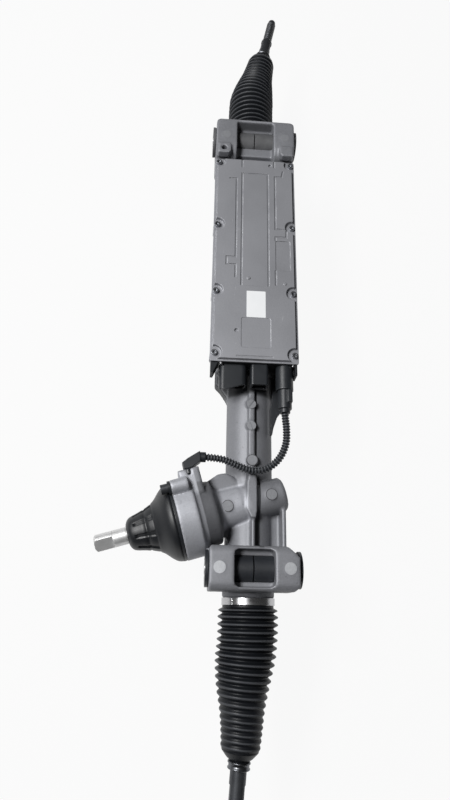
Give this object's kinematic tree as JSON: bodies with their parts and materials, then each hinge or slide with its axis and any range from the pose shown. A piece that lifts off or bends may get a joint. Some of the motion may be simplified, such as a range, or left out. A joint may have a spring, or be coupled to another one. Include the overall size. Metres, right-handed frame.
{
  "type": "steering rack",
  "caption": "Electric power steering rack: long housing tube with a tilted pinion and input shaft, a front control unit, mounting bushes, bellows and tie rods.",
  "frame": {"origin": "middle of the bore through the mounting bracket next to the pinion", "axes": "+X along the rack towards the motor end, +Y along the mounting bores towards the input shaft, +Z out of the control unit's cover"},
  "size_m": [1.1745, 0.2335, 0.202],
  "materials": {
    "cast_housing": "as-cast satin",
    "cover_metal": "fine cast, matt",
    "machined_steel": "bright turned",
    "zinc_steel": "zinc plated",
    "dark_screw": "black coated",
    "cover_screw": "dull plated",
    "black_rubber": "matt",
    "bush_rubber": "satin",
    "black_plastic": "fine textured",
    "guide_plastic": "satin",
    "belt_rubber": "matt",
    "copper": "plain",
    "magnet": "sintered",
    "board": "solder mask",
    "label": "satin film"
  },
  "bodies": {
    "housing": {"rack_housing": "cast_housing", "drive_housing": "cast_housing", "drive_screws": "zinc_steel", "mount_bushes": "bush_rubber", "mount_sleeves": "zinc_steel", "rack_bush": "guide_plastic", "rack_stops": "black_rubber", "sensor_coil": "black_plastic", "sensor_cover": "black_plastic", "sensor_cover_screws": "dark_screw", "sensor_boot": "black_rubber", "pinion_bearings": "machined_steel", "bearing_retainers": "machined_steel", "barrel_cap": "zinc_steel", "yoke": "cast_housing", "yoke_spring": "machined_steel", "yoke_plug": "cast_housing", "nut_bearing_outer": "machined_steel", "drive_belt": "belt_rubber", "motor_housing": "zinc_steel", "motor_stator": "magnet", "motor_bearings": "machined_steel", "phase_duct": "black_plastic", "phase_bars": "copper", "electronics_tray": "cast_housing", "tray_screws": "zinc_steel", "cover_seal": "black_rubber", "electronics_cover": "cover_metal", "cover_screws": "cover_screw", "blank_label": "label", "circuit_board": "board", "power_connector": "black_plastic", "signal_connector": "black_plastic", "connector_pins": "copper", "sensor_socket": "black_plastic", "conduit_plug": "black_plastic", "elbow_plug": "black_plastic", "sensor_conduit": "black_plastic", "bellows_clamps": "zinc_steel", "lower_bellows": "black_rubber", "upper_bellows": "black_rubber"},
    "rack": {"rack_bar": "machined_steel", "joint_sockets": "machined_steel"},
    "pinion_shaft": {"pinion": "machined_steel", "torsion_bar": "machined_steel", "pinion_bearing_inner": "machined_steel"},
    "steering_input": {"input_shaft": "machined_steel", "sensor_magnet": "magnet"},
    "nut_assembly": {"ball_nut": "machined_steel", "nut_balls": "machined_steel", "nut_bearing_inner": "machined_steel", "large_pulley": "machined_steel"},
    "motor_shaft": {"motor_rotor": "machined_steel", "small_pulley": "machined_steel"},
    "lower_seat": {"lower_ball_liner": "guide_plastic"},
    "lower_rod": {"lower_tie_rod": "machined_steel", "lower_small_clamp": "zinc_steel"},
    "upper_seat": {"upper_ball_liner": "guide_plastic"},
    "upper_rod": {"upper_tie_rod": "machined_steel", "upper_small_clamp": "zinc_steel"}
  },
  "joints": [
    {"name": "rack_slide", "type": "slide", "parent": "housing", "child": "rack", "axis": [1, 0, 0], "range_m": [-0.065, 0.065], "deforming": ["lower_bellows", "upper_bellows"]},
    {"name": "pinion_turn", "type": "hinge", "parent": "housing", "child": "pinion_shaft", "pos_m": [0.076, 0, -0.026], "axis": [-0.284, 0.9588, 0], "range_deg": [-399, 399]},
    {"name": "torsion_twist", "type": "hinge", "parent": "pinion_shaft", "child": "steering_input", "pos_m": [0.05896, 0.05753, -0.026], "axis": [-0.284, 0.9588, 0], "range_deg": [-4, 4], "stiffness_Nm_per_rad": 110},
    {"name": "nut_turn", "type": "hinge", "parent": "housing", "child": "nut_assembly", "pos_m": [0.519, 0, -0.045], "axis": [1, 0, 0], "range_deg": [-2342, 2342]},
    {"name": "motor_turn", "type": "hinge", "parent": "housing", "child": "motor_shaft", "pos_m": [0.42, 0, -0.12], "axis": [1, 0, 0], "range_deg": [-5775, 5775]},
    {"name": "lower_droop", "type": "hinge", "parent": "rack", "child": "lower_seat", "pos_m": [-0.088, 0, -0.045], "axis": [-0.0785, -0.9969, 0], "range_deg": [-17, 13]},
    {"name": "lower_swing", "type": "hinge", "parent": "lower_seat", "child": "lower_rod", "pos_m": [-0.088, 0, -0.045], "axis": [0, 0, 1], "range_deg": [-10, 10]},
    {"name": "upper_droop", "type": "hinge", "parent": "rack", "child": "upper_seat", "pos_m": [0.7, 0, -0.045], "axis": [0.1874, 0.9823, 0], "range_deg": [-16.5, 13.5]},
    {"name": "upper_swing", "type": "hinge", "parent": "upper_seat", "child": "upper_rod", "pos_m": [0.7, 0, -0.045], "axis": [0, 0, 1], "range_deg": [-8, 12]}
  ],
  "couplings": [
    {"joint": "pinion_turn", "follows": "rack_slide", "rad_per_m": -106.54},
    {"joint": "nut_turn", "follows": "rack_slide", "rad_per_m": -628.32},
    {"joint": "motor_turn", "follows": "rack_slide", "rad_per_m": -1549.9}
  ]
}
